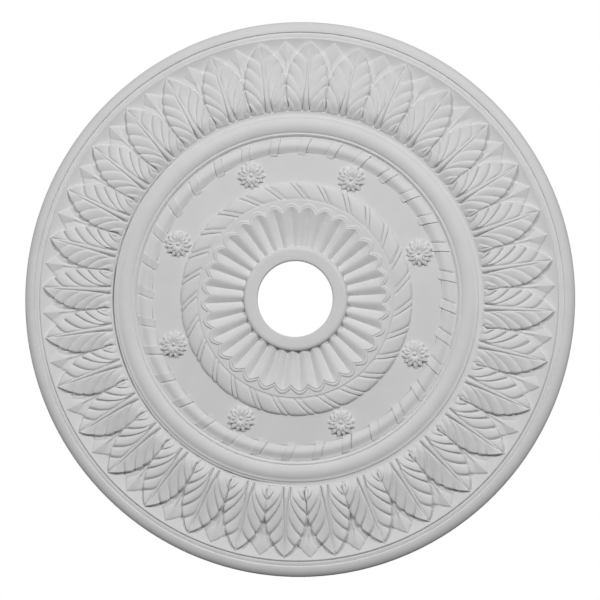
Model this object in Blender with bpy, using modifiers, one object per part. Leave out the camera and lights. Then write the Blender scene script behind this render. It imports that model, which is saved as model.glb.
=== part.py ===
"""A round ceiling rose moulded in one piece, with its flat back against the ceiling and its ornament below.

The rose is turned and carved face up, then rolled over about X, so that its back lies in the plane Z = 0
and its face looks down. From the rim to the cable hole its rings are a rolled rim with a stepped line,
two rows of pointed leaves, a broad half-round moulding, a ribbon-bound moulding, a plain field with
rosettes, a rope twist, and a dished ring of flutes round a raised hub.
"""

import math

import bmesh
import bpy

# Driving sizes, in metres
OUTER_RADIUS = 0.33975
HOLE_RADIUS = 0.0460
HOLE_FLARE = 0.0055
PROJECTION = 0.0286
EDGE_THICKNESS = 0.0016
HUB_LIP = 0.0135
LEAVES = 32
ROSETTES = 8
PETALS = 12

# Points of the profile lie further apart than this, so it tells one ring of points from the next
HAIR = 0.0002

# The pattern repeats LEAVES times, and each repeat is four columns wide
COLUMNS = 4 * LEAVES
PATTERN_TURN = math.radians(3 * 360 / COLUMNS)
ROSETTE_TURN = math.radians(20.1)

# Radii of the rings: the hub follows the cable hole, and the rest are shares of the outer radius
HUB_EDGE = HOLE_RADIUS + HUB_LIP
HUB_FOOT = HUB_EDGE + 0.012 * OUTER_RADIUS
FLUTE_END = 0.309 * OUTER_RADIUS
FLUTE_LEDGE = 0.005 * OUTER_RADIUS
FLUTE_WAVE = 0.0265 * OUTER_RADIUS
COLLAR_EDGE = 0.354 * OUTER_RADIUS
TWIST_INNER = 0.359 * OUTER_RADIUS
TWIST_OUTER = 0.419 * OUTER_RADIUS
FIELD_INNER = 0.433 * OUTER_RADIUS
FIELD_OUTER = 0.5225 * OUTER_RADIUS
BOUND_OUTER = 0.579 * OUTER_RADIUS
ROUND_CREST = 0.623 * OUTER_RADIUS
ROUND_FOOT = 0.674 * OUTER_RADIUS
LEAF_BASE = 0.679 * OUTER_RADIUS
LEAF_CREST = 0.716 * OUTER_RADIUS
LEAF_TIP = 0.930 * OUTER_RADIUS
LEAF_NOTCH = 0.047 * OUTER_RADIUS
RIM_LINE = 0.942 * OUTER_RADIUS
RIM_STEP = 0.949 * OUTER_RADIUS
RIM_ROLL = 0.966 * OUTER_RADIUS
ROSETTE_RING = 0.4733 * OUTER_RADIUS
ROSETTE_RADIUS = 0.0486 * OUTER_RADIUS
ROSETTE_TOP = 0.42 * ROSETTE_RADIUS
PETAL_NOTCH = 0.84

# Heights below the ceiling, as shares of the projection
HOLE_EDGE_RISE = 0.982 * PROJECTION
HUB_FOOT_RISE = 0.881 * PROJECTION
FLUTE_DIP_RISE = 0.846 * PROJECTION
FLUTE_END_RISE = 0.965 * PROJECTION
COLLAR_RISE = 0.888 * PROJECTION
TWIST_RISE = 0.864 * PROJECTION
TWIST_FOOT_RISE = 0.682 * PROJECTION
FIELD_INNER_RISE = 0.664 * PROJECTION
FIELD_OUTER_RISE = 0.608 * PROJECTION
BOUND_RISE = 0.680 * PROJECTION
ROUND_RISE = 0.748 * PROJECTION
ROUND_FOOT_RISE = 0.580 * PROJECTION
LEAF_BASE_RISE = 0.650 * PROJECTION
LEAF_CREST_RISE = 0.797 * PROJECTION
LEAF_TIP_RISE = 0.357 * PROJECTION
LEAF_THICKNESS = 0.056 * PROJECTION
RIM_LINE_RISE = 0.318 * PROJECTION
RIM_STEP_RISE = 0.266 * PROJECTION
RIM_ROLL_RISE = 0.250 * PROJECTION

# Depths of the carving, as shares of the projection
FLUTE_DEPTH = 0.120 * PROJECTION
LEAF_PARTING = 0.130 * PROJECTION
BACK_LEAF_DROP = 0.035 * PROJECTION
GROUND_FALL = 0.060 * PROJECTION
RIBBON_LIFT = 0.030 * PROJECTION
ROSETTE_RISE = 0.200 * PROJECTION


def between(low, high, share):
    return low + (high - low) * share


def quarter_round(crest, foot, steps):
    """Points from just past a moulding's crest down to its foot, as a quarter of an ellipse."""
    points = []
    for step in range(1, steps + 1):
        turn = step / steps * math.pi / 2
        radius = between(crest[0], foot[0], math.sin(turn))
        points.append((radius, between(foot[1], crest[1], math.cos(turn))))
    return points


def turned_profile():
    """The section of the blank, as (radius, height) from the cable hole out to the rim and back."""
    crest = (ROUND_CREST, ROUND_RISE)
    inner_foot = (BOUND_OUTER, FIELD_OUTER_RISE)
    leaf_fall = [
        (between(LEAF_CREST, LEAF_TIP, share), between(LEAF_CREST_RISE, LEAF_TIP_RISE, drop))
        for share, drop in ((0.20, 0.20), (0.45, 0.56), (0.64, 0.82))
    ]
    return [
        (HOLE_RADIUS + HOLE_FLARE, 0.0),
        (HOLE_RADIUS, HOLE_EDGE_RISE),
        (HUB_EDGE, PROJECTION),
        (HUB_FOOT, HUB_FOOT_RISE),
        (between(HUB_FOOT, FLUTE_END, 0.27), FLUTE_DIP_RISE),
        (between(HUB_FOOT, FLUTE_END, 0.63), between(FLUTE_DIP_RISE, FLUTE_END_RISE, 0.32)),
        (FLUTE_END, FLUTE_END_RISE),
        (FLUTE_END + FLUTE_LEDGE, COLLAR_RISE),
        (COLLAR_EDGE, COLLAR_RISE),
        (TWIST_INNER, TWIST_RISE),
        *quarter_round((TWIST_INNER, TWIST_RISE), (TWIST_OUTER, TWIST_FOOT_RISE), 2),
        (FIELD_INNER, FIELD_INNER_RISE),
        (FIELD_OUTER, FIELD_OUTER_RISE),
        (between(FIELD_OUTER, BOUND_OUTER, 0.25), BOUND_RISE),
        (between(FIELD_OUTER, BOUND_OUTER, 0.75), BOUND_RISE),
        inner_foot,
        quarter_round(crest, inner_foot, 2)[0],
        crest,
        *quarter_round(crest, (ROUND_FOOT, ROUND_FOOT_RISE), 2),
        (LEAF_BASE, LEAF_BASE_RISE),
        (LEAF_CREST, LEAF_CREST_RISE),
        *leaf_fall,
        (LEAF_TIP, LEAF_TIP_RISE),
        (LEAF_TIP, LEAF_TIP_RISE - LEAF_THICKNESS),
        (RIM_LINE, RIM_LINE_RISE),
        (RIM_STEP, RIM_STEP_RISE),
        (RIM_ROLL, RIM_ROLL_RISE),
        *quarter_round((RIM_ROLL, RIM_ROLL_RISE), (OUTER_RADIUS, EDGE_THICKNESS), 2),
        (OUTER_RADIUS, 0.0),
    ]


def carved(radius, height, angle):
    """Where a point of the turned blank goes when the flutes, the ribbons and the leaves are cut."""
    pattern = math.cos(LEAVES * (angle - PATTERN_TURN))
    valley = (1 - pattern) / 2
    flank = 1 - abs(pattern)
    if height < HAIR:
        return radius, height
    if HUB_EDGE + HAIR < radius < FLUTE_END + HAIR:
        height -= FLUTE_DEPTH * valley**1.5
    if FLUTE_END - HAIR < radius < COLLAR_EDGE - HAIR:
        radius += FLUTE_WAVE * valley
    if FIELD_OUTER + HAIR < radius < BOUND_OUTER - HAIR:
        height += RIBBON_LIFT * max(pattern, 0.0)
    if LEAF_BASE - HAIR < radius < LEAF_TIP - LEAF_NOTCH:
        inward = (LEAF_TIP - radius) / (LEAF_TIP - LEAF_BASE)
        height -= LEAF_PARTING * valley**2 * min(1.0, 1.6 * inward) + BACK_LEAF_DROP * valley
    elif LEAF_TIP - LEAF_NOTCH < radius < LEAF_TIP + HAIR:
        under = height < LEAF_TIP_RISE - LEAF_THICKNESS / 2
        radius -= LEAF_NOTCH * flank
        if under:
            height -= GROUND_FALL * flank
        else:
            height += LEAF_THICKNESS * flank - BACK_LEAF_DROP * valley
    return radius, height


def plaster_white():
    """White primer over foamed polyurethane: pale grey white, matt, not metallic."""
    material = bpy.data.materials.new("primed_white")
    material.use_nodes = True
    shader = material.node_tree.nodes["Principled BSDF"]
    shader.inputs["Base Color"].default_value = (0.80, 0.80, 0.80, 1.0)
    shader.inputs["Roughness"].default_value = 0.6
    shader.inputs["Metallic"].default_value = 0.0
    return material


def add_object(name, mesh, collection):
    made = bpy.data.objects.new(name, mesh)
    collection.objects.link(made)
    return made


def turned_blank(collection):
    """The profile swept once round Z, as a plain mesh that the carving can move."""
    profile = turned_profile()
    mesh = bpy.data.meshes.new("profile")
    loop = bmesh.new()
    corners = [loop.verts.new((radius, 0.0, height)) for radius, height in profile]
    for first, second in zip(corners, corners[1:] + corners[:1], strict=True):
        loop.edges.new((first, second))
    loop.to_mesh(mesh)
    loop.free()
    guide = add_object("profile", mesh, collection)
    screw = guide.modifiers.new("turn", "SCREW")
    screw.steps = screw.render_steps = COLUMNS
    screw.use_merge_vertices = True
    screw.merge_threshold = 0.00001
    graph = bpy.context.evaluated_depsgraph_get()
    turned = bpy.data.meshes.new_from_object(guide.evaluated_get(graph))
    bpy.data.objects.remove(guide)
    return turned


def carve(mesh):
    work = bmesh.new()
    work.from_mesh(mesh)
    bmesh.ops.remove_doubles(work, verts=work.verts, dist=0.00001)
    for corner in work.verts:
        angle = math.atan2(corner.co.y, corner.co.x)
        radius, height = carved(math.hypot(corner.co.x, corner.co.y), corner.co.z, angle)
        corner.co = (radius * math.cos(angle), radius * math.sin(angle), height)
    bmesh.ops.recalc_face_normals(work, faces=work.faces)
    work.to_mesh(mesh)
    work.free()


def rosettes(collection):
    """Eight daisies on the field: a fluted cone of petals and a button, each sunk into the field."""
    work = bmesh.new()
    sunk = ROSETTE_RISE / 2
    field = between(FIELD_OUTER_RISE, FIELD_INNER_RISE, 0.5)
    for place in range(ROSETTES):
        turn = ROSETTE_TURN + place * math.tau / ROSETTES
        centre_x = ROSETTE_RING * math.cos(turn)
        centre_y = ROSETTE_RING * math.sin(turn)
        daisy = bmesh.new()
        petals = bmesh.ops.create_cone(
            daisy,
            cap_ends=True,
            segments=2 * PETALS,
            radius1=ROSETTE_RADIUS,
            radius2=ROSETTE_TOP,
            depth=ROSETTE_RISE + sunk,
        )["verts"]
        for number, corner in enumerate(sorted(petals, key=lambda v: math.atan2(v.co.y, v.co.x))):
            if corner.co.z < 0 and number // 2 % 2:
                corner.co.x *= PETAL_NOTCH
                corner.co.y *= PETAL_NOTCH
        for corner in petals:
            corner.co.x += centre_x
            corner.co.y += centre_y
            corner.co.z += field + (ROSETTE_RISE - sunk) / 2
        flower = bpy.data.meshes.new("daisy")
        daisy.to_mesh(flower)
        daisy.free()
        work.from_mesh(flower)
        bpy.data.meshes.remove(flower)
    mesh = bpy.data.meshes.new("rosettes")
    work.to_mesh(mesh)
    work.free()
    joined = add_object("rosettes", mesh, collection)
    joined.hide_render = True
    joined.display_type = "WIRE"
    return joined


def main():
    for old in list(bpy.data.objects):
        bpy.data.objects.remove(old)
    parts = bpy.data.collections.new("ceiling_rose")
    helpers = bpy.data.collections.new("helpers")
    bpy.context.scene.collection.children.link(parts)
    bpy.context.scene.collection.children.link(helpers)

    mesh = turned_blank(helpers)
    carve(mesh)
    mesh.name = "ceiling_rose"
    mesh.shade_smooth()
    mesh.set_sharp_from_angle(angle=math.radians(35))
    mesh.materials.append(plaster_white())
    rose = add_object("ceiling_rose", mesh, parts)
    rose.rotation_euler.x = math.pi

    daisies = rosettes(helpers)
    daisies.rotation_euler.x = math.pi
    union = rose.modifiers.new("rosettes", "BOOLEAN")
    union.operation = "UNION"
    union.object = daisies
    union.solver = "EXACT"


main()
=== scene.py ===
# %% [markdown]
# A moulded ceiling rose, ring by ring
#
# The real rose is one casting: white primed foam, taken from a carved master. Its section is turned, and
# its ornament is carved into the turned rings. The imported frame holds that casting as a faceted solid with
# the true outline, so this lesson keeps the frame's size and gives every ring its fine relief as mesh.
# Each ring is modelled face up, which is easier to think about, and is rolled over when it is finished,
# because the real one faces down from the ceiling.

import math
import random

import bmesh
import bpy
from mathutils import Matrix, Vector, noise


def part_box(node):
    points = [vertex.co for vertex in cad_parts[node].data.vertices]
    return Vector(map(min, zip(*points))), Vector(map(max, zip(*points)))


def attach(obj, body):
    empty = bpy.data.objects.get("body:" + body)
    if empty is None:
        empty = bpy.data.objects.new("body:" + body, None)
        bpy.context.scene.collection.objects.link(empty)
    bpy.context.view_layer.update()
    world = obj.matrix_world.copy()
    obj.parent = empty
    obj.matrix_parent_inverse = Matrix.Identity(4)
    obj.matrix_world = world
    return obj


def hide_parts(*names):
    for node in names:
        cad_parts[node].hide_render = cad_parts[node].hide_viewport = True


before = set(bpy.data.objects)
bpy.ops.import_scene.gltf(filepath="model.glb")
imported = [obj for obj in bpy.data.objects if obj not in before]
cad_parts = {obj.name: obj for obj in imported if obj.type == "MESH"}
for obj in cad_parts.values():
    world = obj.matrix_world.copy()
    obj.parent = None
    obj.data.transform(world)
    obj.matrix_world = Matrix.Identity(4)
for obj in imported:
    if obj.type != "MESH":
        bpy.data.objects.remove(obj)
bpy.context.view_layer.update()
low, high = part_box("ceiling_rose")
print("frame box in metres:", tuple(round(v, 4) for v in low), tuple(round(v, 4) for v in high))

# %% [markdown]
# Sizes come from the frame. The rose measures 339.75 mm from its axis to its rim and 28.6 mm from the
# ceiling to its hub, so one millimetre across and one millimetre deep are worked out from the frame's own
# box. Every radius and height below is then written in those millimetres, and follows the frame if it
# changes. Angles are in degrees, anticlockwise from the picture's right, as one looks up at the rose.

# %% Units and pattern
RIM = 339.75
FACE = 28.6
ACROSS = (high[0] - low[0]) / 2 / RIM
DEEP = (high[2] - low[2]) / FACE
LEAVES = 32
PITCH = 360 / LEAVES
LEAF_TURN = 0.75 * PITCH
TWISTS = 27
ROSETTES = 8
random.seed(8)
print(f"one millimetre across is {ACROSS:.6f} m, one millimetre deep is {DEEP:.6f} m")


def blend(start, end, share):
    return start + (end - start) * share


def ease(share):
    """A share from 0 to 1 that starts and ends gently."""
    share = min(max(share, 0.0), 1.0)
    return share * share * (3 - 2 * share)


def stations(points, place):
    """Reads a line drawn through a few (place, value) points, level outside them."""
    for (start, low_value), (end, high_value) in zip(points, points[1:]):
        if place <= end:
            break
    return blend(low_value, high_value, min(max((place - start) / (end - start), 0.0), 1.0))


def spot(radius, degrees, height):
    """A point of the face-up rose, in metres, from millimetres and degrees."""
    turn = math.radians(degrees)
    return Vector((radius * ACROSS * math.cos(turn), radius * ACROSS * math.sin(turn), height * DEEP))


# %% [markdown]
# The finish is matt white primer sprayed over foam. Up close it has a fine orange-peel grain, faint
# clouding where the coat is thicker, and tiny pinholes where bubbles burst. The grain is used on the face
# and, coarser, on the back, so it is one node group with named inputs, placed in both materials. The
# group puts out a colour, a roughness and a height, and the shader stays in the material.

# %% Grain group
def add_node(tree, kind, **inputs):
    node = tree.nodes.new(kind)
    for name, value in inputs.items():
        node.inputs[name.replace("_", " ")].default_value = value
    return node


MIX_FACTOR, MIX_FIRST, MIX_SECOND, MIX_RESULT = 0, 6, 7, 2
CLOUD_EDGE = 0.35
GLOSSIEST, DULLEST = 0.50, 0.64
PIT_REACH, PIT_DEPTH = 0.10, 0.6


def grain_sockets(group):
    sockets = (
        ("Tint", "INPUT", "NodeSocketColor"),
        ("Shade", "INPUT", "NodeSocketColor"),
        ("Cloud Scale", "INPUT", "NodeSocketFloat"),
        ("Grain Scale", "INPUT", "NodeSocketFloat"),
        ("Pinhole Scale", "INPUT", "NodeSocketFloat"),
        ("Color", "OUTPUT", "NodeSocketColor"),
        ("Roughness", "OUTPUT", "NodeSocketFloat"),
        ("Height", "OUTPUT", "NodeSocketFloat"),
    )
    for name, side, kind in sockets:
        group.interface.new_socket(name=name, in_out=side, socket_type=kind)


def grain_group():
    """Noise for clouds, finer noise for grain, and pits where a cell pattern's distance is small."""
    group = bpy.data.node_groups.new("primer_grain", "ShaderNodeTree")
    grain_sockets(group)
    given, made = group.nodes.new("NodeGroupInput"), group.nodes.new("NodeGroupOutput")
    place = group.nodes.new("ShaderNodeTexCoord")
    cloud = add_node(group, "ShaderNodeTexNoise", Detail=3.0, Roughness=0.6)
    grain = add_node(group, "ShaderNodeTexNoise", Detail=4.0, Roughness=0.65)
    holes = add_node(group, "ShaderNodeTexVoronoi")
    spread = add_node(group, "ShaderNodeMapRange", From_Min=CLOUD_EDGE, From_Max=1 - CLOUD_EDGE)
    gloss = add_node(group, "ShaderNodeMapRange", To_Min=GLOSSIEST, To_Max=DULLEST)
    pits = add_node(group, "ShaderNodeMapRange", From_Max=PIT_REACH, To_Min=-PIT_DEPTH, To_Max=0.0)
    tint = add_node(group, "ShaderNodeMix")
    tint.data_type = "RGBA"
    height = add_node(group, "ShaderNodeMath")
    height.operation = "ADD"
    link = group.links.new
    for node, scale in ((cloud, "Cloud Scale"), (grain, "Grain Scale"), (holes, "Pinhole Scale")):
        link(place.outputs["Object"], node.inputs["Vector"])
        link(given.outputs[scale], node.inputs["Scale"])
    link(cloud.outputs["Fac"], spread.inputs["Value"])
    link(spread.outputs["Result"], tint.inputs[MIX_FACTOR])
    link(given.outputs["Shade"], tint.inputs[MIX_FIRST])
    link(given.outputs["Tint"], tint.inputs[MIX_SECOND])
    link(grain.outputs["Fac"], gloss.inputs["Value"])
    link(holes.outputs["Distance"], pits.inputs["Value"])
    link(grain.outputs["Fac"], height.inputs[0])
    link(pits.outputs["Result"], height.inputs[1])
    link(tint.outputs[MIX_RESULT], made.inputs["Color"])
    link(gloss.outputs["Result"], made.inputs["Roughness"])
    link(height.outputs["Value"], made.inputs["Height"])
    return group


PRIMER_GRAIN = grain_group()
print("group", PRIMER_GRAIN.name, "has", len(PRIMER_GRAIN.nodes), "nodes")

# %% [markdown]
# Two finishes use the group. The face is sprayed and neutral, with grain of about a millimetre. The back
# is bare foam with a little overspray, so it is warmer, darker in its clouds and more than twice as
# coarse. The bump's distance is in metres: some hundredths of a millimetre on the face, and five times
# that on the back.

# %% Finish materials
MATT_SHINE = 0.25


def primer(name, tint, shade, scales, bump):
    """A matt coat: the grain group feeds the shader's colour and roughness, and a small bump its normal."""
    material = bpy.data.materials.new(name)
    material.use_nodes = True
    tree = material.node_tree
    shader = tree.nodes["Principled BSDF"]
    shader.inputs["Specular IOR Level"].default_value = MATT_SHINE
    coat = tree.nodes.new("ShaderNodeGroup")
    coat.node_tree = PRIMER_GRAIN
    coat.inputs["Tint"].default_value = (*tint, 1.0)
    coat.inputs["Shade"].default_value = (*shade, 1.0)
    for socket, scale in zip(("Cloud Scale", "Grain Scale", "Pinhole Scale"), scales):
        coat.inputs[socket].default_value = scale
    relief = tree.nodes.new("ShaderNodeBump")
    relief.inputs["Strength"].default_value = 1.0
    relief.inputs["Distance"].default_value = bump
    tree.links.new(coat.outputs["Color"], shader.inputs["Base Color"])
    tree.links.new(coat.outputs["Roughness"], shader.inputs["Roughness"])
    tree.links.new(coat.outputs["Height"], relief.inputs["Height"])
    tree.links.new(relief.outputs["Normal"], shader.inputs["Normal"])
    return material


FACE_WHITE = primer(
    "face_primer",
    tint=(0.80, 0.80, 0.80),
    shade=(0.77, 0.77, 0.77),
    scales=(26.0, 900.0, 240.0),
    bump=0.00004,
)
BACK_WHITE = primer(
    "back_primer",
    tint=(0.78, 0.775, 0.76),
    shade=(0.70, 0.69, 0.67),
    scales=(14.0, 420.0, 120.0),
    bump=0.0002,
)
print("finishes:", FACE_WHITE.name, "and", BACK_WHITE.name)

# %% [markdown]
# Every ring ends the same way. Doubles are merged and normals recalculated while the mesh is still a
# closed skin, the ring is rolled over so that it hangs face down, and the object rides on the casting and
# stands for its faceted solid. A plain ring is a section spun round the axis. A carved one is laid
# out of patches: a grid whose points are placed by a formula, closed below by walls and a floor, and
# added to its neighbours one by one, each a little different.

# %% Finishing and repeating
RING_WELD = 0.00002
PATCH_WELD = 0.000001
LEAF_WELD = 0.000005


def hang(name, form, sharp_over, weld, materials=(FACE_WHITE,)):
    """Makes a finished ring an object whose edges are sharp where they bend by over sharp_over degrees."""
    bmesh.ops.remove_doubles(form, verts=form.verts, dist=weld)
    bmesh.ops.recalc_face_normals(form, faces=form.faces)
    bmesh.ops.rotate(form, verts=form.verts, cent=(0, 0, 0), matrix=Matrix.Rotation(math.pi, 3, "X"))
    mesh = bpy.data.meshes.new(name)
    form.to_mesh(mesh)
    form.free()
    mesh.shade_smooth()
    mesh.set_sharp_from_angle(angle=math.radians(sharp_over))
    for material in materials:
        mesh.materials.append(material)
    piece = bpy.data.objects.new(name, mesh)
    bpy.context.scene.collection.objects.link(piece)
    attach(piece, "root")
    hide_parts("ceiling_rose")
    triangles = sum(len(face.vertices) - 2 for face in mesh.polygons)
    print(f"{name}: {triangles} triangles")
    return piece


def spun(section, columns):
    """A closed section of (radius, height) points, spun once round the axis."""
    form = bmesh.new()
    corners = [form.verts.new(spot(radius, 0, height)) for radius, height in section]
    edges = [form.edges.new(pair) for pair in zip(corners, corners[1:] + corners[:1])]
    bmesh.ops.spin(
        form,
        geom=corners + edges,
        cent=(0, 0, 0),
        axis=(0, 0, 1),
        angle=math.tau,
        steps=columns,
        use_merge=True,
    )
    return form


def sheet_patch(rows, columns, place):
    """A grid whose points are placed by place(along, across), along 0 to 1 and across -1 to 1."""
    form = bmesh.new()
    bmesh.ops.create_grid(form, x_segments=rows, y_segments=columns, size=1.0)
    for corner in form.verts:
        along = min(max((corner.co.x + 1) / 2, 0.0), 1.0)
        across = min(max(corner.co.y, -1.0), 1.0)
        corner.co = place(along, across)
    return form


def closed_below(form, foot):
    """Gives a patch walls down to foot(point) along its border, and a floor."""
    border = [edge for edge in form.edges if edge.is_boundary]
    walls = bmesh.ops.extrude_edge_only(form, edges=border)["geom"]
    for corner in walls:
        if isinstance(corner, bmesh.types.BMVert):
            corner.co = foot(corner.co.copy())
    rim = [edge for edge in form.edges if edge.is_boundary]
    bmesh.ops.holes_fill(form, edges=rim, sides=0)
    return form


def level_foot(height):
    """A foot for walls that go straight down to one height."""
    return lambda point: Vector((point.x, point.y, height * DEEP))


def add_form(whole, part):
    """Adds one form to another and frees it."""
    mesh = bpy.data.meshes.new("part")
    part.to_mesh(mesh)
    part.free()
    whole.from_mesh(mesh)
    bpy.data.meshes.remove(mesh)


print(f"welds: {RING_WELD * 1000:g} mm on a spun ring, {PATCH_WELD * 1000:g} mm on patches")

# %% [markdown]
# The body is what a plasterer would run with a template: rim, ground, half-round moulding, field, collar
# and hub, turned as one section. Round stretches are arcs worked out by a formula, so the section only
# names the points where it turns. Two kinds do for all of it: a quarter of an ellipse, and an arc
# that starts level and rolls off. The field and the ground are lines that other rings stand on, so
# their heights are functions too.

# %% Arcs for sections
def quarter(crest, foot, steps):
    """Points on a quarter of an ellipse after its crest, where it is level, to its upright foot."""
    points = []
    for step in range(1, steps + 1):
        turn = step / steps * math.pi / 2
        out = blend(crest[0], foot[0], math.sin(turn))
        points.append((out, blend(foot[1], crest[1], math.cos(turn))))
    return points


def roll_off(crest, reach, bend, steps):
    """Points on a round arc of radius bend that starts level at the crest and runs out by reach."""
    points = []
    for step in range(1, steps + 1):
        out = reach * step / steps
        points.append((crest[0] + out, crest[1] - bend + math.sqrt(bend * bend - out * out)))
    return points


FIELD_INNER = (147.0, 19.0)
FIELD_OUTER = (178.6, 17.4)
ROUND_CREST = (211.6, 21.4)


def field_height(radius):
    share = (radius - FIELD_INNER[0]) / (FIELD_OUTER[0] - FIELD_INNER[0])
    return blend(FIELD_INNER[1], FIELD_OUTER[1], share)


GROUND = (
    (230.2, 13.0),
    (233.0, 14.6),
    (244.0, 15.2),
    (250.0, 15.4),
    (258.0, 12.0),
    (276.0, 8.6),
    (292.0, 6.6),
    (300.0, 5.6),
    (310.0, 6.6),
    (319.0, 8.9),
)


def ground_height(radius):
    """The ground that the leaves stand on, from under their bases out to the rim line."""
    return stations(GROUND, radius)


print(f"the field falls from {FIELD_INNER[1]} to {FIELD_OUTER[1]} mm")
print(f"the ground falls from {ground_height(250):g} to {ground_height(300):g} mm")

# %% [markdown]
# Where carved rings sit on the body, it dips out of their way. The cable hole has a thin lip and widens
# behind it, as the mould's core was drawn out at the back. The lip was trimmed by hand, a hair off
# centre, so a dark sliver of its wall shows at the upper right. On one side the line along the leaves'
# bases gapes unevenly, so its points are lowered there by a share that depends on the angle.

# %% Section of the body
HUB_CREST = (58.6, FACE)
HUB_SIDE = (63.7, 25.3)
ROUND_FOOT = 204.2
ROUND_SWELL = 1.75
ROUND_REACH, ROUND_BEND = 7.9, 15.8
RIM_CREST = (327.5, 7.9)
RIM_REACH, RIM_BEND = 11.3, 15.6
rise_steps = (0.0, 0.2, 0.4, 0.6, 0.8)
inner_rise = [
    (blend(ROUND_FOOT, ROUND_CREST[0], step), ROUND_CREST[1] - ROUND_SWELL * (1 - step) ** 2)
    for step in rise_steps
]
outer_fall = roll_off(ROUND_CREST, ROUND_REACH, ROUND_BEND, 8)
ground_radii = (232.0, 236.0, 244.0, 251.0, 258.0, 267.0, 276.0, 284.0, 292.0, 300.0, 310.0)
body_section = [
    (52.0, 0.0),
    (50.6, 8.0),
    (46.4, 24.4),
    (46.2, 25.2),
    (46.4, 26.8),
    (46.9, 27.7),
    (47.7, 28.15),
    (49.0, 28.3),
    (53.0, 28.42),
    HUB_CREST,
    *quarter(HUB_CREST, HUB_SIDE, 8),
    (64.2, 19.4),
    (65.0, 18.6),
    (118.5, 18.6),
    (119.4, 19.0),
    (119.4, 24.55),
    (121.9, 24.55),
    (122.2, 23.4),
    (126.0, 23.5),
    (134.0, 22.0),
    (139.5, 19.9),
    (141.0, 19.4),
    (143.2, 19.5),
    (144.6, 19.2),
    FIELD_INNER,
    (162.0, field_height(162.0)),
    FIELD_OUTER,
    (179.6, 15.6),
    (195.0, 15.6),
    (195.4, 17.25),
    (196.9, 17.35),
    (197.7, 17.3),
    (198.1, 16.5),
    (198.6, 16.4),
    (199.0, 17.7),
    (200.6, 19.2),
    (201.2, 19.45),
    (202.3, 19.3),
    (202.9, 18.55),
    (203.5, 19.0),
    *inner_rise,
    ROUND_CREST,
    *outer_fall,
    (220.2, 18.95),
    (221.0, 18.75),
    (222.6, 18.5),
    (223.2, 18.3),
    (224.0, 17.0),
    (224.8, 16.75),
    (226.0, 16.6),
    (226.5, 16.55),
    (227.9, 16.5),
    (228.4, 16.6),
    (229.4, 16.9),
    (230.2, 16.7),
    *((radius, ground_height(radius)) for radius in ground_radii),
    (318.2, 8.82),
    (318.9, 9.1),
    (319.5, 9.05),
    (320.2, 8.5),
    (320.9, 7.4),
    (321.3, 7.1),
    (321.8, 7.35),
    (322.6, 7.45),
    (325.0, 7.0),
    (325.6, 6.75),
    (326.1, 6.3),
    (326.5, 6.3),
    (327.0, 6.9),
    RIM_CREST,
    *roll_off(RIM_CREST, RIM_REACH, RIM_BEND, 16),
    (339.4, 2.0),
    (RIM, 0.9),
    (RIM, 0.4),
    (RIM - 0.4, 0.0),
]
print("the body's section has", len(body_section), "points")

# %% Turned body
BODY_COLUMNS = 512
BACK_SKIN = 0.0004
LIP_WALL = 53.0
LIP_TOP = 27.0
LIP_SHIFT = Vector((-0.5 * ACROSS, -0.45 * ACROSS, 0.0))
SEAM_INNER, SEAM_OUTER = 226.3, 228.1
SEAM_ABOVE = 10.0
SEAM_DEPTH = 5.0
SEAM_TURN = 198.0
SEAM_WAVES = 12.0


def open_seam(form):
    """Deepens the line along the leaves' bases on one side, where the master's two rings parted."""
    for corner in form.verts:
        radius = corner.co.xy.length / ACROSS
        if SEAM_INNER < radius < SEAM_OUTER and corner.co.z > SEAM_ABOVE * DEEP:
            turn = math.atan2(corner.co.y, corner.co.x)
            gape = ease((math.cos(turn - math.radians(SEAM_TURN)) - 0.3) / 0.35)
            around = Vector((SEAM_WAVES * math.cos(turn), SEAM_WAVES * math.sin(turn), 0))
            uneven = 0.8 + 0.5 * noise.noise(around)
            corner.co.z -= SEAM_DEPTH * gape * uneven * DEEP


def turned_body():
    form = spun(body_section, BODY_COLUMNS)
    bmesh.ops.remove_doubles(form, verts=form.verts, dist=RING_WELD)
    open_seam(form)
    inside = [corner for corner in form.verts if corner.co.xy.length < LIP_WALL * ACROSS]
    trimmed = [corner for corner in inside if corner.co.z < LIP_TOP * DEEP]
    bmesh.ops.translate(form, verts=trimmed, vec=LIP_SHIFT)
    for face in form.faces:
        face.material_index = 1 if face.calc_center_median().z < BACK_SKIN else 0
    return hang("turned_body", form, 22.0, RING_WELD, (FACE_WHITE, BACK_WHITE))


turned_body()

# %% [markdown]
# Round the hub lies a dish of 32 flutes with round crests and sharp valleys, like a scallop shell. A
# cosine that is folded up at zero has just that section. The valleys run on further than the crests, so
# the flutes end in a wavy line, with a narrow groove and a raised bead that follow the wave. The ring is
# spun plain and its points are then moved, because the wave and the flutes are both simple formulas
# of the angle.

# %% Fluted dish
HUB_FOOT = 62.8
FLUTE_END = 105.0
WAVE = 7.4
WAVE_SETTLES = 6.0
DISH_ROWS = 34
FLUTE_COLUMNS = 24
DISH_UNDERSIDE = 18.0
FLUTE_CREST = ((62.8, 25.0), (70.0, 24.4), (75.0, 24.2), (85.0, 24.8), (95.0, 26.0), (105.0, 27.6))
FLUTE_DEPTH = ((62.8, 5.4), (66.0, 4.3), (72.0, 3.6), (85.0, 3.8), (97.0, 3.8), (102.0, 2.6), (105.0, 0.9))
BEAD = (
    (0.4, 26.6),
    (1.3, 26.2),
    (1.9, 26.5),
    (2.6, 26.7),
    (3.3, 26.6),
    (4.0, 26.3),
    (4.7, 25.9),
    (5.0, 25.6),
)
BEAD_FOOT = 5.3
COLLAR = 25.4
COLLAR_EDGE = 120.3
COLLAR_SIDE = 121.3


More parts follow.
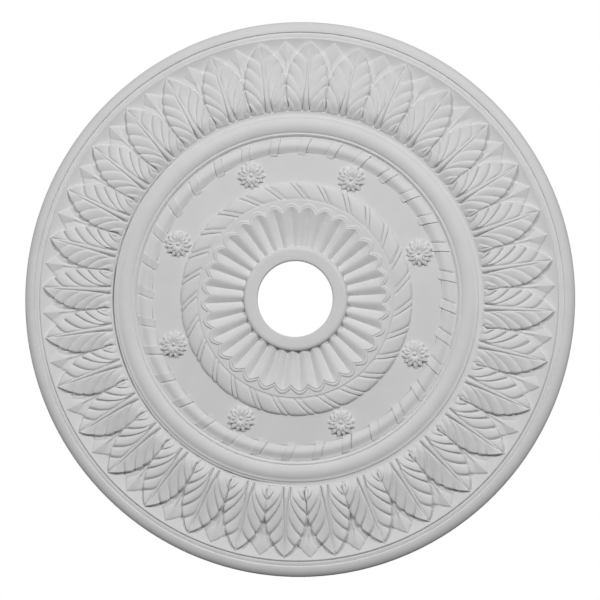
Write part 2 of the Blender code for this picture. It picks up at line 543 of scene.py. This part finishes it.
def dish_shape(radius, degrees, height):
    """Carves one point of the plain dish."""
    turn = math.radians((degrees - LEAF_TURN) * LEAVES / 2)
    crest, valley = abs(math.cos(turn)), abs(math.sin(turn))
    if height < DISH_UNDERSIDE + 2.0:
        return radius, height
    if radius < FLUTE_END + 0.01:
        reach = (radius - HUB_FOOT) / (FLUTE_END - HUB_FOOT)
        carved = height - stations(FLUTE_DEPTH, radius) * (1 - crest)
        return radius + WAVE * valley * reach**4, carved
    settle = 1 - ease((radius - FLUTE_END - 5.2) / WAVE_SETTLES)
    return radius + WAVE * valley * settle, height


def fluted_dish():
    radii = [blend(HUB_FOOT, FLUTE_END, step / DISH_ROWS) for step in range(DISH_ROWS + 1)]
    section = [(HUB_FOOT, DISH_UNDERSIDE)]
    section += [(radius, stations(FLUTE_CREST, radius)) for radius in radii]
    section += [(FLUTE_END + out, height) for out, height in BEAD]
    section += [(FLUTE_END + out, COLLAR) for out in (BEAD_FOOT, 8.0, 11.2)]
    section += [(COLLAR_EDGE - 0.7, COLLAR), (COLLAR_EDGE, COLLAR)]
    section += [(COLLAR_SIDE, COLLAR - 1.1), (COLLAR_SIDE, DISH_UNDERSIDE)]
    form = spun(section, LEAVES * FLUTE_COLUMNS)
    for corner in form.verts:
        radius = math.hypot(corner.co.x, corner.co.y) / ACROSS
        degrees = math.degrees(math.atan2(corner.co.y, corner.co.x))
        radius, height = dish_shape(radius, degrees, corner.co.z / DEEP)
        corner.co = spot(radius, degrees, height)
    return hang("fluted_dish", form, 28.0, RING_WELD)


fluted_dish()

# %% [markdown]
# Outside the collar runs a rope twist. Each turn of the rope shows one wide strand and one narrow one,
# slanting outwards, with a sharp groove on either side. Each strand is its own patch laid over a turned
# base, because a patch has rounded edges and ends of its own, and the gap between two patches makes a
# groove as crisp as the carved one.

# %% Rope twist
TWIST_PITCH = 360 / TWISTS
TWIST_TURN = 4.0
TWIST_SLANT = 7.6
TWIST_INNER = 121.9
TWIST_CREST = 125.5
TWIST_OUTER = 143.4
TWIST_TOP = 24.9
TWIST_FOOT = 19.2
TWIST_UNDERSIDE = 14.0
STRAND_ROWS = 22


def twist_height(radius):
    """The rope's rounded back: level inside, falling to the field outside."""
    if radius < TWIST_CREST:
        rise = ease((radius - TWIST_INNER) / (TWIST_CREST - TWIST_INNER))
        return blend(TWIST_TOP - 0.6, TWIST_TOP, rise)
    fall = min((radius - TWIST_CREST) / (TWIST_OUTER - TWIST_CREST), 1.0)
    return TWIST_FOOT + (TWIST_TOP - TWIST_FOOT) * math.sqrt(max(1 - fall * fall, 0.0))


def strand(middle, half, crown, columns):
    """One strand: its middle line's angle at the inner end, its half width in degrees and its crown."""
    end = random.uniform(-0.3, 0.3)

    def place(along, across):
        bow = 1 - abs(across) ** 3
        radius = blend(TWIST_INNER, TWIST_OUTER + end - 1.6 * across * across, along)
        degrees = middle + TWIST_SLANT * along + half * across
        rounding = 0.9 * abs(across) ** 8 + 0.8 * ease((along - 0.88) / 0.12)
        return spot(radius, degrees, twist_height(radius) + crown * bow - rounding)

    return closed_below(sheet_patch(STRAND_ROWS, columns, place), level_foot(TWIST_UNDERSIDE))


NARROW_HALF, WIDE_HALF = 1.35, 4.95
NARROW_CROWN, WIDE_CROWN = 0.15, 0.35


def rope_twist():
    whole = bmesh.new()
    for turn in range(TWISTS):
        start = TWIST_TURN + turn * TWIST_PITCH
        add_form(whole, strand(start, NARROW_HALF, NARROW_CROWN, 8))
        add_form(whole, strand(start + TWIST_PITCH / 2, WIDE_HALF, WIDE_CROWN, 16))
    return hang("rope_twist", whole, 40.0, PATCH_WELD)


rope_twist()

# %% [markdown]
# A half-round moulding bound with ribbon frames the field. A ribbon crosses it once for every leaf: a band
# a little over ten millimetres wide, leaning, with its inner end lapped over the field like a tongue.
# Slanting cuts part the ribbons from the moulding, so both are made as patches whose edges dip, and the
# cuts lie between. The cut on a ribbon's clockwise side is the deeper one. One function makes both kinds
# of patch, because they differ only in their width, their lift and the line that their inner end follows.

# %% Bound moulding and its ribbons
BOUND_INNER = 178.2
BOUND_OUTER = 196.3
BOUND_FOOT = 17.42
BOUND_RISE = 2.8
BOUND_UNDERSIDE = 15.8
RIBBON_TURN = 8.3
RIBBON_LIFT = 1.6
RIBBON_LEAN = -2.1
RIBBON_HALF = 1.75
RIBBON_LAP = 2.6
CUT_WIDTH = 0.8


def bound_height(radius):
    middle = (BOUND_INNER + BOUND_OUTER) / 2
    share = min(abs(radius - middle) / (BOUND_OUTER - middle), 1.0)
    return BOUND_FOOT + BOUND_RISE * math.cos(math.pi / 2 * share) ** 1.6


def crowded(across):
    """Crowds a patch's columns towards its two edges."""
    return math.sin(math.pi / 2 * across)


def bound_part(middle, half, lift, inner_reach):
    """A stretch of the moulding between slanting cuts: a ribbon if it is lifted, plain if it isn't."""

    def place(along, across):
        across = crowded(across)
        clockwise = (1 - across) / 2
        reach = inner_reach(clockwise)
        radius = blend(BOUND_INNER - reach, BOUND_OUTER + 0.3 * max(reach, 0.0), along)
        degrees = middle + RIBBON_LEAN * (along - 0.5) + half * across
        edge = (1 - abs(across)) * half * math.radians(BOUND_INNER)
        raised = lift * (0.25 + 0.75 * clockwise)
        height = bound_height(radius) + raised * ease(min(along, 1 - along) / 0.05 + 0.75)
        cut = (0.5 + 1.5 * clockwise + 0.8 * raised) * (1.2 - 0.4 * along)
        height -= cut * (1 - ease(edge / CUT_WIDTH))
        return spot(radius, degrees, height)

    return closed_below(sheet_patch(20, 12, place), level_foot(BOUND_UNDERSIDE))


def ribbon_end(clockwise):
    """How far a ribbon laps onto the field: most at its clockwise corner."""
    return RIBBON_LAP * (0.25 + 0.75 * clockwise) * (1 - abs(2 * clockwise - 1) ** 7)


def plain_end(clockwise):
    """The plain moulding is tucked under the ribbon before it and comes out towards the next."""
    return -1.3 * (1 - clockwise)


def bound_moulding():
    whole = bmesh.new()
    for turn in range(LEAVES):
        middle = RIBBON_TURN + turn * PITCH + random.uniform(-0.2, 0.2)
        add_form(whole, bound_part(middle, RIBBON_HALF, RIBBON_LIFT, ribbon_end))
    for turn in range(LEAVES):
        middle = RIBBON_TURN + (turn + 0.5) * PITCH
        add_form(whole, bound_part(middle, PITCH / 2 - RIBBON_HALF + 0.12, 0.0, plain_end))
    return hang("bound_moulding", whole, 50.0, PATCH_WELD)


bound_moulding()

# %% [markdown]
# Eight rosettes sit on the field. Each has two rows of petals round a button. A petal is a small cupped
# patch with a crease down its middle. The outer row is longer and wider, and the inner row stands higher
# and falls in its gaps. Petals and button are closed forms that overlap, as they merge in the casting.

# %% Rosettes
ROSETTE_RING = 160.8
ROSETTE_TURN = 20.1
ROSETTE_SIZE = 16.6
ROSETTE_SUNK = 0.2
PETALS = 13
PETAL_UNDERSIDE = -1.5
OUTER_ROW = {"start": 5.0, "width": 3.15, "lift": 1.7, "arch": 2.4}
INNER_ROW = {"start": 2.6, "width": 2.15, "lift": 3.0, "arch": 3.0}
OUTER_LENGTHS = (0.94, 1.03)
INNER_LENGTHS = (0.72, 0.82)
PETAL_CREASE = 0.7
BUTTON_RADIUS, BUTTON_HEIGHT = 3.4, 6.2
BUTTON_GROOVES = 9.0


def petal(length, turn, start, width, lift, arch):
    """One petal, lying out along X, then turned about the rosette's own axis."""

    def place(along, across):
        outline = width * math.sin(math.pi * (0.16 + 0.80 * along) ** 1.35) ** 0.6
        out = blend(start, length, along) - 0.9 * across * across * along
        cup = arch * math.sin(math.pi * (0.10 + 0.82 * along))
        crease = PETAL_CREASE * math.exp(-((across / 0.2) ** 2)) * math.sin(math.pi * along)
        height = lift + cup * (1 - 0.55 * across * across) - crease
        return Vector((out * ACROSS, outline * across * ACROSS, height * DEEP))

    form = closed_below(sheet_patch(10, 8, place), level_foot(PETAL_UNDERSIDE))
    bmesh.ops.rotate(form, verts=form.verts, cent=(0, 0, 0), matrix=Matrix.Rotation(turn, 3, "Z"))
    return form


def button():
    """The rosette's middle: a dome cut across by shallow grooves."""
    form = bmesh.new()
    bmesh.ops.create_uvsphere(form, u_segments=24, v_segments=12, radius=1.0)
    for corner in form.verts:
        cross = math.cos(corner.co.x * BUTTON_GROOVES) * math.cos(corner.co.y * BUTTON_GROOVES)
        corner.co.x *= BUTTON_RADIUS * ACROSS
        corner.co.y *= BUTTON_RADIUS * ACROSS
        dome = corner.co.z * BUTTON_HEIGHT + 0.25 * cross * max(corner.co.z, 0.0)
        corner.co.z = dome * DEEP
    return form


def rosette(number):
    flower = bmesh.new()
    spin = random.uniform(0.0, math.tau)
    for row, (shape, lengths) in enumerate(((OUTER_ROW, OUTER_LENGTHS), (INNER_ROW, INNER_LENGTHS))):
        for place in range(PETALS):
            turn = spin + (place + row / 2) * math.tau / PETALS + random.uniform(-0.05, 0.05)
            length = ROSETTE_SIZE * random.uniform(*lengths)
            add_form(flower, petal(length, turn, **shape))
    add_form(flower, button())
    turn = math.radians(ROSETTE_TURN + number * 360 / ROSETTES)
    where = Vector((math.cos(turn), math.sin(turn), 0)) * ROSETTE_RING * ACROSS
    where.z = (field_height(ROSETTE_RING) - ROSETTE_SUNK) * DEEP
    bmesh.ops.translate(flower, verts=flower.verts, vec=where)
    return flower


def rosettes():
    whole = bmesh.new()
    for number in range(ROSETTES):
        add_form(whole, rosette(number))
    return hang("rosettes", whole, 50.0, PATCH_WELD)


rosettes()

# %% [markdown]
# The widest ring is a double row of pointed leaves. The front ones stand side by side up to their shoulders
# and then draw in to a point, and near their bases each draws back from its neighbour to leave an
# eyelet. All of them share one rise, from the base up to a crest and down to the tip, so their width
# and height are functions of the radius. Towards the tips a leaf's wall leans out a little as it goes
# down to the ground, because a mould has to let go of it.

# %% Leaf outline and rise
LEAF_BASE = 230.2
LEAF_TIP = 316.5
LEAF_CREST = 244.0
LEAF_SHOULDER = 255.0
LEAF_HALF = 26.5
LEAF_GAP = 0.06
WALL_SUNK = 0.6
LEAF_RISE_START = 229.0
LEAF_BASE_TOP = 17.7
LEAF_TOP = 21.3
LEAF_FALL = 11.4
HALF_PITCH = math.tan(math.radians(PITCH / 2))
EYELET_OUT = 250.0
EYELET_IN = 232.6
EYELET_SIDE = 2.8


def ogive(radius):
    """Half the width of a lone leaf outside its shoulder."""
    share = max(radius - LEAF_SHOULDER, 0.0) / (LEAF_TIP - LEAF_SHOULDER)
    return max(LEAF_HALF * (1 - share**2.75), 0.0)


def leaf_half(radius):
    """Half the leaf's width: up to its neighbours inside, where an eyelet is left, an ogive outside."""
    side = min(radius * HALF_PITCH - LEAF_GAP, ogive(radius))
    if EYELET_IN < radius < EYELET_OUT:
        share = (EYELET_OUT - radius) / (EYELET_OUT - EYELET_IN)
        side -= EYELET_SIDE * share**0.9 * (1 - ease((share - 0.78) / 0.22))
    return side


def leaf_height(radius):
    """The leaves' common rise: up from their bases to a crest, then down and out to the tips."""
    if radius < LEAF_CREST:
        along = max(radius - LEAF_RISE_START, 0.0) / (LEAF_CREST - LEAF_RISE_START)
        rise = math.sin(math.pi / 2 * along)
        return LEAF_BASE_TOP + (LEAF_TOP - LEAF_BASE_TOP) * rise
    share = (radius - LEAF_CREST) / (LEAF_TIP - LEAF_CREST)
    fall = 0.45 * ease(share) + 0.55 * math.sin(math.pi / 2 * share)
    return LEAF_TOP - LEAF_FALL * fall


def leaf_foot(point, middle):
    """Where a leaf's wall meets the ground, a little outside the leaf near its tip."""
    radius = math.hypot(point.x, point.y) / ACROSS
    degrees = math.degrees(math.atan2(point.y, point.x))
    side = math.sin(math.radians(degrees - middle)) * radius / 12
    out = Vector((math.cos(math.radians(middle)), math.sin(math.radians(middle)), 0))
    across = Vector((-out.y, out.x, 0)) * max(-1.0, min(1.0, side))
    normal = (out * 0.62 + across * 0.78).normalized()
    reach = ease((radius - 264.0) / 20.0)
    foot = point + normal * (0.5 - 0.4 * normal.x) * reach * ACROSS
    foot.z = (ground_height(radius) - WALL_SUNK) * DEEP
    return foot


print(f"leaves rise to {leaf_height(LEAF_CREST):.1f} mm and end at {leaf_height(LEAF_TIP):.1f} mm")

# %% [markdown]
# A front leaf has a raised midrib that widens towards its base, and five veins a side that leave the
# midrib slowly and then sweep out to the edge. Between the veins the leaf swells into six lobes, each
# with a long rounded back and a short steep flank on the side of the leaf's tip. A grid suits it if its
# rows run along the veins instead of straight across, because each valley then falls on a row and stays
# sharp. Every leaf is drawn afresh with small differences, as the carver's were.

# %% Veins and midrib
VEIN_STARTS = (
    (230.2, 21.2),
    (230.2, 13.6),
    (230.2, 5.2),
    (236.0, 4.2),
    (260.3, 2.4),
    (287.0, 1.5),
    (315.4, 0.0),
)
VEIN_ENDS = (230.2, 248.8, 263.7, 277.6, 290.3, 302.0, LEAF_TIP)
MIDRIB = ((230.0, 4.2), (245.0, 2.9), (261.0, 2.0), (283.0, 1.5), (304.0, 1.0), (316.5, 0.2))
GROOVE_DEPTH = (
    (230.0, 3.2),
    (234.0, 5.0),
    (240.0, 3.6),
    (250.0, 1.4),
    (262.0, 0.9),
    (304.0, 0.6),
    (316.5, 0.0),
)
GROOVE_WIDTH = ((230.0, 1.15), (245.0, 1.0), (262.0, 0.9), (316.5, 0.7))
LOBE_ROWS = 12
SIDE_COLUMNS = 18
MIDRIB_ROWS = 56
MIDRIB_CROWN = 0.9
LOBE_HEIGHT = 2.8
LOBE_VALLEY = 1.0
VEIN_SWEEP = 0.52
NOTCH = 1.6
EDGE_ROUND, EDGE_DROP = 1.9, 1.7
CAMBER = 1.1
LOBES = len(VEIN_ENDS) - 1
print(f"a leaf has {LOBES} lobes a side, ending at radii {VEIN_ENDS[1:]}")


# %% Front leaf
def lobe_relief(share):
    """Height across one lobe: a long rounded back and a short steep flank towards the leaf's tip."""
    rise = math.sin(math.pi / 2 * min(share / 0.8, 1.0)) ** 0.9
    return LOBE_HEIGHT * rise * ease((1 - share) / 0.19) ** 0.8 - LOBE_VALLEY


def half_leaf(middle, side):
    """The half of a leaf on one side of its midrib, with rows that follow the veins."""
    rows = LOBE_ROWS * LOBES
    shift = [0.0, *(random.uniform(-1.0, 1.0) for _ in range(LOBES - 1)), 0.0]
    swell = [random.uniform(0.85, 1.15) for _ in range(LOBES)]

    def place(along, across):
        lobe = min(int(along * rows + 0.5) // LOBE_ROWS, LOBES - 1)
        share = min(max((along * rows - lobe * LOBE_ROWS) / LOBE_ROWS, 0.0), 1.0)
        start, after = VEIN_STARTS[lobe], VEIN_STARTS[lobe + 1]
        inner = blend(start[0], after[0], share), blend(start[1], after[1], share)
        end = blend(VEIN_ENDS[lobe] + shift[lobe], VEIN_ENDS[lobe + 1] + shift[lobe + 1], share)
        reach = (across + 1) / 2
        radius = blend(inner[0], end, reach**VEIN_SWEEP)
        notch = NOTCH * abs(2 * share - 1) ** 3 if 1 < lobe < LOBES - 1 else 0.0
        notch += NOTCH * (1 - share) ** 4 if lobe == LOBES - 1 else 0.0
        off = blend(inner[1], leaf_half(end) - notch, reach)
        edge = max(leaf_half(radius) - notch * reach**4 - off, 0.0)
        rounded = ease(edge / EDGE_ROUND)
        height = leaf_height(radius) - CAMBER * (off / 26) ** 2
        height += swell[lobe] * lobe_relief(share) * rounded * (0.5 + 0.6 * reach) * ease(reach / 0.12)
        height -= EDGE_DROP * (1 - rounded) ** 2
        rib = stations(MIDRIB, radius)
        groove = stations(GROOVE_DEPTH, radius)
        height -= groove * math.exp(-(((off - rib) / stations(GROOVE_WIDTH, radius)) ** 2))
        height -= 0.3 * ease((231.4 - radius) / 1.2)
        height += 0.15 * noise.noise(Vector((radius * 0.15, off * side * 0.15, middle)))
        return spot(radius, middle + side * math.degrees(off / radius), height)

    form = sheet_patch(rows, SIDE_COLUMNS, place)
    return closed_below(form, lambda point: leaf_foot(point, middle))


def midrib(middle):
    """The rounded stem between the two halves."""

    def place(along, across):
        radius = blend(LEAF_BASE - 0.3, LEAF_TIP - 0.6, along)
        rib = stations(MIDRIB, radius)
        crown = MIDRIB_CROWN * ease((LEAF_TIP - radius) / 40) * ease((radius - 226.0) / 20)
        height = leaf_height(radius) + crown
        height -= (crown + stations(GROOVE_DEPTH, radius)) * abs(across) ** 3
        height -= 0.8 * ease((232.0 - radius) / 2.0)
        return spot(radius, middle + math.degrees((rib + 0.3) * across / radius), height)

    form = sheet_patch(MIDRIB_ROWS, 8, place)
    return closed_below(form, lambda point: leaf_foot(point, middle))


def front_leaves(name, first):
    whole = bmesh.new()
    for turn in range(first, LEAVES, 2):
        middle = LEAF_TURN + turn * PITCH + random.uniform(-0.1, 0.1)
        add_form(whole, half_leaf(middle, 1))
        add_form(whole, half_leaf(middle, -1))
        add_form(whole, midrib(middle))
    return hang(name, whole, 40.0, LEAF_WELD)


front_leaves("front_leaves_1", 0)
front_leaves("front_leaves_2", 1)

# %% [markdown]
# Behind each gap lies a back leaf. Only its pointed end shows: two flanks that fall from a ridge, each with
# one vein, and a short midrib further in. It reaches as far out as the front leaves, so the ring ends in
# 64 equal points, but it drops below them inwards, which leaves the dark hollows between their edges.

# %% Back leaves
BACK_BASE = 258.0
BACK_VEIN_START = 289.5
RIDGE_SLOPE, FLANK_SLOPE = 0.24, 0.05
BACK_SUNK = 4.0


def back_leaf(middle):
    swell = random.uniform(0.85, 1.15)
    lean = random.uniform(-0.2, 0.2)

    def place(along, across):
        radius = blend(BACK_BASE, LEAF_TIP, along)
        off = ogive(radius) * abs(across)
        vein = 1.2 + 8.0 * max(radius - BACK_VEIN_START, 0.0) / 15.0
        side = 1 if across > 0 else -1
        drop = 0.5 + BACK_SUNK * ease((308.0 - radius) / 30.0)
        fall = RIDGE_SLOPE * min(off, vein) + FLANK_SLOPE * max(off - vein, 0.0)
        height = leaf_height(radius) - drop - fall
        if radius > BACK_VEIN_START:
            height -= 0.7 * swell * math.exp(-(((off - vein) / 1.0) ** 2)) * ease((LEAF_TIP - radius) / 9)
        height -= 0.7 * ease(1 - (ogive(radius) - off) / 2.5)
        inner = ease((radius - 262.0) / 8.0) * ease((300.0 - radius) / 14.0)
        height += inner * 0.9 * math.exp(-((off / 1.3) ** 2))
        height -= inner * 0.8 * math.exp(-(((off - 2.6) / 0.9) ** 2))
        return spot(radius, middle + lean * along + side * math.degrees(off / radius), height)

    form = sheet_patch(44, 28, place)
    return closed_below(form, lambda point: leaf_foot(point, middle))


def back_leaves():
    whole = bmesh.new()
    for turn in range(LEAVES):
        add_form(whole, back_leaf(LEAF_TURN + (turn + 0.5) * PITCH))
    return hang("back_leaves", whole, 38.0, LEAF_WELD)


back_leaves()

# %% [markdown]
# Where two leaves' lowest lobes part, a small bud sits in the eyelet, close to one side, so that a narrow
# dark slit is left along the other. A bud is a sphere drawn out to a teardrop.

# %% Buds in the eyelets
BUD_MIDDLE = 240.2
BUD_REACH = 9.4
BUD_HALF = 2.6
BUD_RISE = 3.0
BUD_SHIFT = 0.25


def bud(middle):
    form = bmesh.new()
    bmesh.ops.create_uvsphere(form, u_segments=16, v_segments=12, radius=1.0)
    for corner in form.verts:
        along, across, up = corner.co
        taper = 1 - 0.35 * (along + 1) / 2
        radius = BUD_MIDDLE + BUD_REACH * along
        degrees = middle + BUD_SHIFT + math.degrees(BUD_HALF * across * taper / radius)
        crease = 0.5 * math.exp(-(((across + 0.35) / 0.2) ** 2)) * max(up, 0.0)
        corner.co = spot(radius, degrees, leaf_height(radius) + BUD_RISE * (up - 1) - crease)
    return form


def buds():
    whole = bmesh.new()
    for turn in range(LEAVES):
        add_form(whole, bud(LEAF_TURN + (turn + 0.5) * PITCH))
    return hang("eyelet_buds", whole, 60.0, PATCH_WELD)


buds()

# %% [markdown]
# The stage is plain. The rose hangs on its own with nothing above it, so the camera looks up at it against
# white, and a pale floor lies a good way below. Floor and sky are pale where the camera sees them, but
# as lights they only give the faint fill that the shadows need. The Light Path node tells the two uses
# apart.

# %% Stage and sky
FILL = 0.075
PALE = 0.82
WHITE = 1.0
FLOOR_RADIUS = 80.0
FLOOR_BELOW = 12.0


def lit_for_camera(tree, seen, given, output):
    """An emission that is pale where the camera sees it and dim as a light."""
    path = tree.nodes.new("ShaderNodeLightPath")
    choice = tree.nodes.new("ShaderNodeMapRange")
    choice.inputs["To Min"].default_value = given
    choice.inputs["To Max"].default_value = seen
    tree.links.new(path.outputs["Is Camera Ray"], choice.inputs["Value"])
    tree.links.new(choice.outputs["Result"], output)


def floor():
    form = bmesh.new()
    bmesh.ops.create_circle(form, cap_ends=True, segments=96, radius=FLOOR_RADIUS)
    bmesh.ops.translate(form, verts=form.verts, vec=(0, 0, -FLOOR_BELOW))
    mesh = bpy.data.meshes.new("floor")
    form.to_mesh(mesh)
    form.free()
    material = bpy.data.materials.new("pale_floor")
    material.use_nodes = True
    tree = material.node_tree
    tree.nodes.remove(tree.nodes["Principled BSDF"])
    glow = tree.nodes.new("ShaderNodeEmission")
    lit_for_camera(tree, PALE, FILL, glow.inputs["Strength"])
    tree.links.new(glow.outputs["Emission"], tree.nodes["Material Output"].inputs["Surface"])
    mesh.materials.append(material)
    made = bpy.data.objects.new("floor", mesh)
    bpy.context.scene.collection.objects.link(made)


floor()
world = bpy.data.worlds.new("studio")
bpy.context.scene.world = world
world.use_nodes = True
sky = world.node_tree.nodes["Background"]
lit_for_camera(world.node_tree, WHITE, FILL, sky.inputs["Strength"])
sky.inputs["Color"].default_value = (1.0, 1.0, 1.0, 1.0)
bpy.context.scene.view_settings.view_transform = "Standard"
bpy.context.scene.view_settings.look = "None"
print("stage: a pale floor and a white sky")

# %% [markdown]
# The rosettes throw two soft shadows, to the lower right and the lower left, so there are two broad key
# panels, at the picture's upper left and upper right, forty degrees off the rose's axis. The right
# one is the stronger. A gentle one above shows the back. A panel is a disk light, and its Z axis is
# turned away from the rose, because an area light shines along its own minus Z.

# %% Lights
KEY_TILT = math.radians(40)
KEY_DISTANCE = 9.0
KEY_SIZE = 2.2


def panel(name, direction, distance, size, power):
    """A soft round panel that shines at the rose from the given direction."""
    light = bpy.data.lights.new(name, "AREA")
    light.shape = "DISK"
    light.size = size
    light.energy = power
    lamp = bpy.data.objects.new(name, light)
    toward = Vector(direction).normalized()
    lamp.location = toward * distance
    lamp.rotation_euler = toward.to_track_quat("Z", "Y").to_euler()
    bpy.context.scene.collection.objects.link(lamp)
    print(f"light {name}: {power} W, {size} m across, {distance} m away")


def toward_key(side):
    """The direction of a key panel that stands at the given angle round from the picture's right."""
    turn = math.radians(side)
    across = math.sin(KEY_TILT)
    return across * math.cos(turn), -across * math.sin(turn), -math.cos(KEY_TILT)


panel("left_key", toward_key(135), KEY_DISTANCE, KEY_SIZE, 280.0)
panel("right_key", toward_key(45), KEY_DISTANCE, KEY_SIZE, 380.0)
panel("back_panel", (-0.5, 0.7, 1.6), 4.0, 2.4, 60.0)

# %% [markdown]
# The photograph was taken almost square on, from well back with a long lens: the outline is a hair
# narrower than it is tall, and the raised hub sits a little left of the rim's middle. So the camera
# stands below, nearly eight degrees round to the picture's right, and its lens is worked out from the
# rim's width in the picture. It is moved sideways by a pixel or two to frame the rose as the photograph
# does.

# %% Camera
VIEW_TILT = math.radians(7.86)
VIEW_DROP = math.radians(1.5)
VIEW_DISTANCE = 6.6
PIXELS = 600
PIXELS_ACROSS_RIM = 555.0
FRAME_RIGHT, FRAME_DOWN = 1.65, 0.75
SENSOR = 36.0

camera_data = bpy.data.cameras.new("camera")
camera = bpy.data.objects.new("camera", camera_data)
bpy.context.scene.collection.objects.link(camera)
bpy.context.scene.camera = camera
back = Vector((math.sin(VIEW_TILT), math.sin(VIEW_DROP), -math.cos(VIEW_TILT))).normalized()
right = Vector((0.0, -1.0, 0.0)).cross(back).normalized()
up = back.cross(right)
camera.rotation_euler = Matrix((right, up, back)).transposed().to_euler()
seen_width = 2 * RIM * ACROSS * PIXELS / PIXELS_ACROSS_RIM
aside = (right * FRAME_RIGHT - up * FRAME_DOWN) * seen_width / PIXELS
camera.location = back * VIEW_DISTANCE + aside
camera_data.sensor_width = SENSOR
camera_data.lens = SENSOR * VIEW_DISTANCE / seen_width
camera_data.shift_x = 0.0
camera_data.shift_y = 0.0
print(f"lens {camera_data.lens:.1f} mm, {VIEW_DISTANCE} m away")
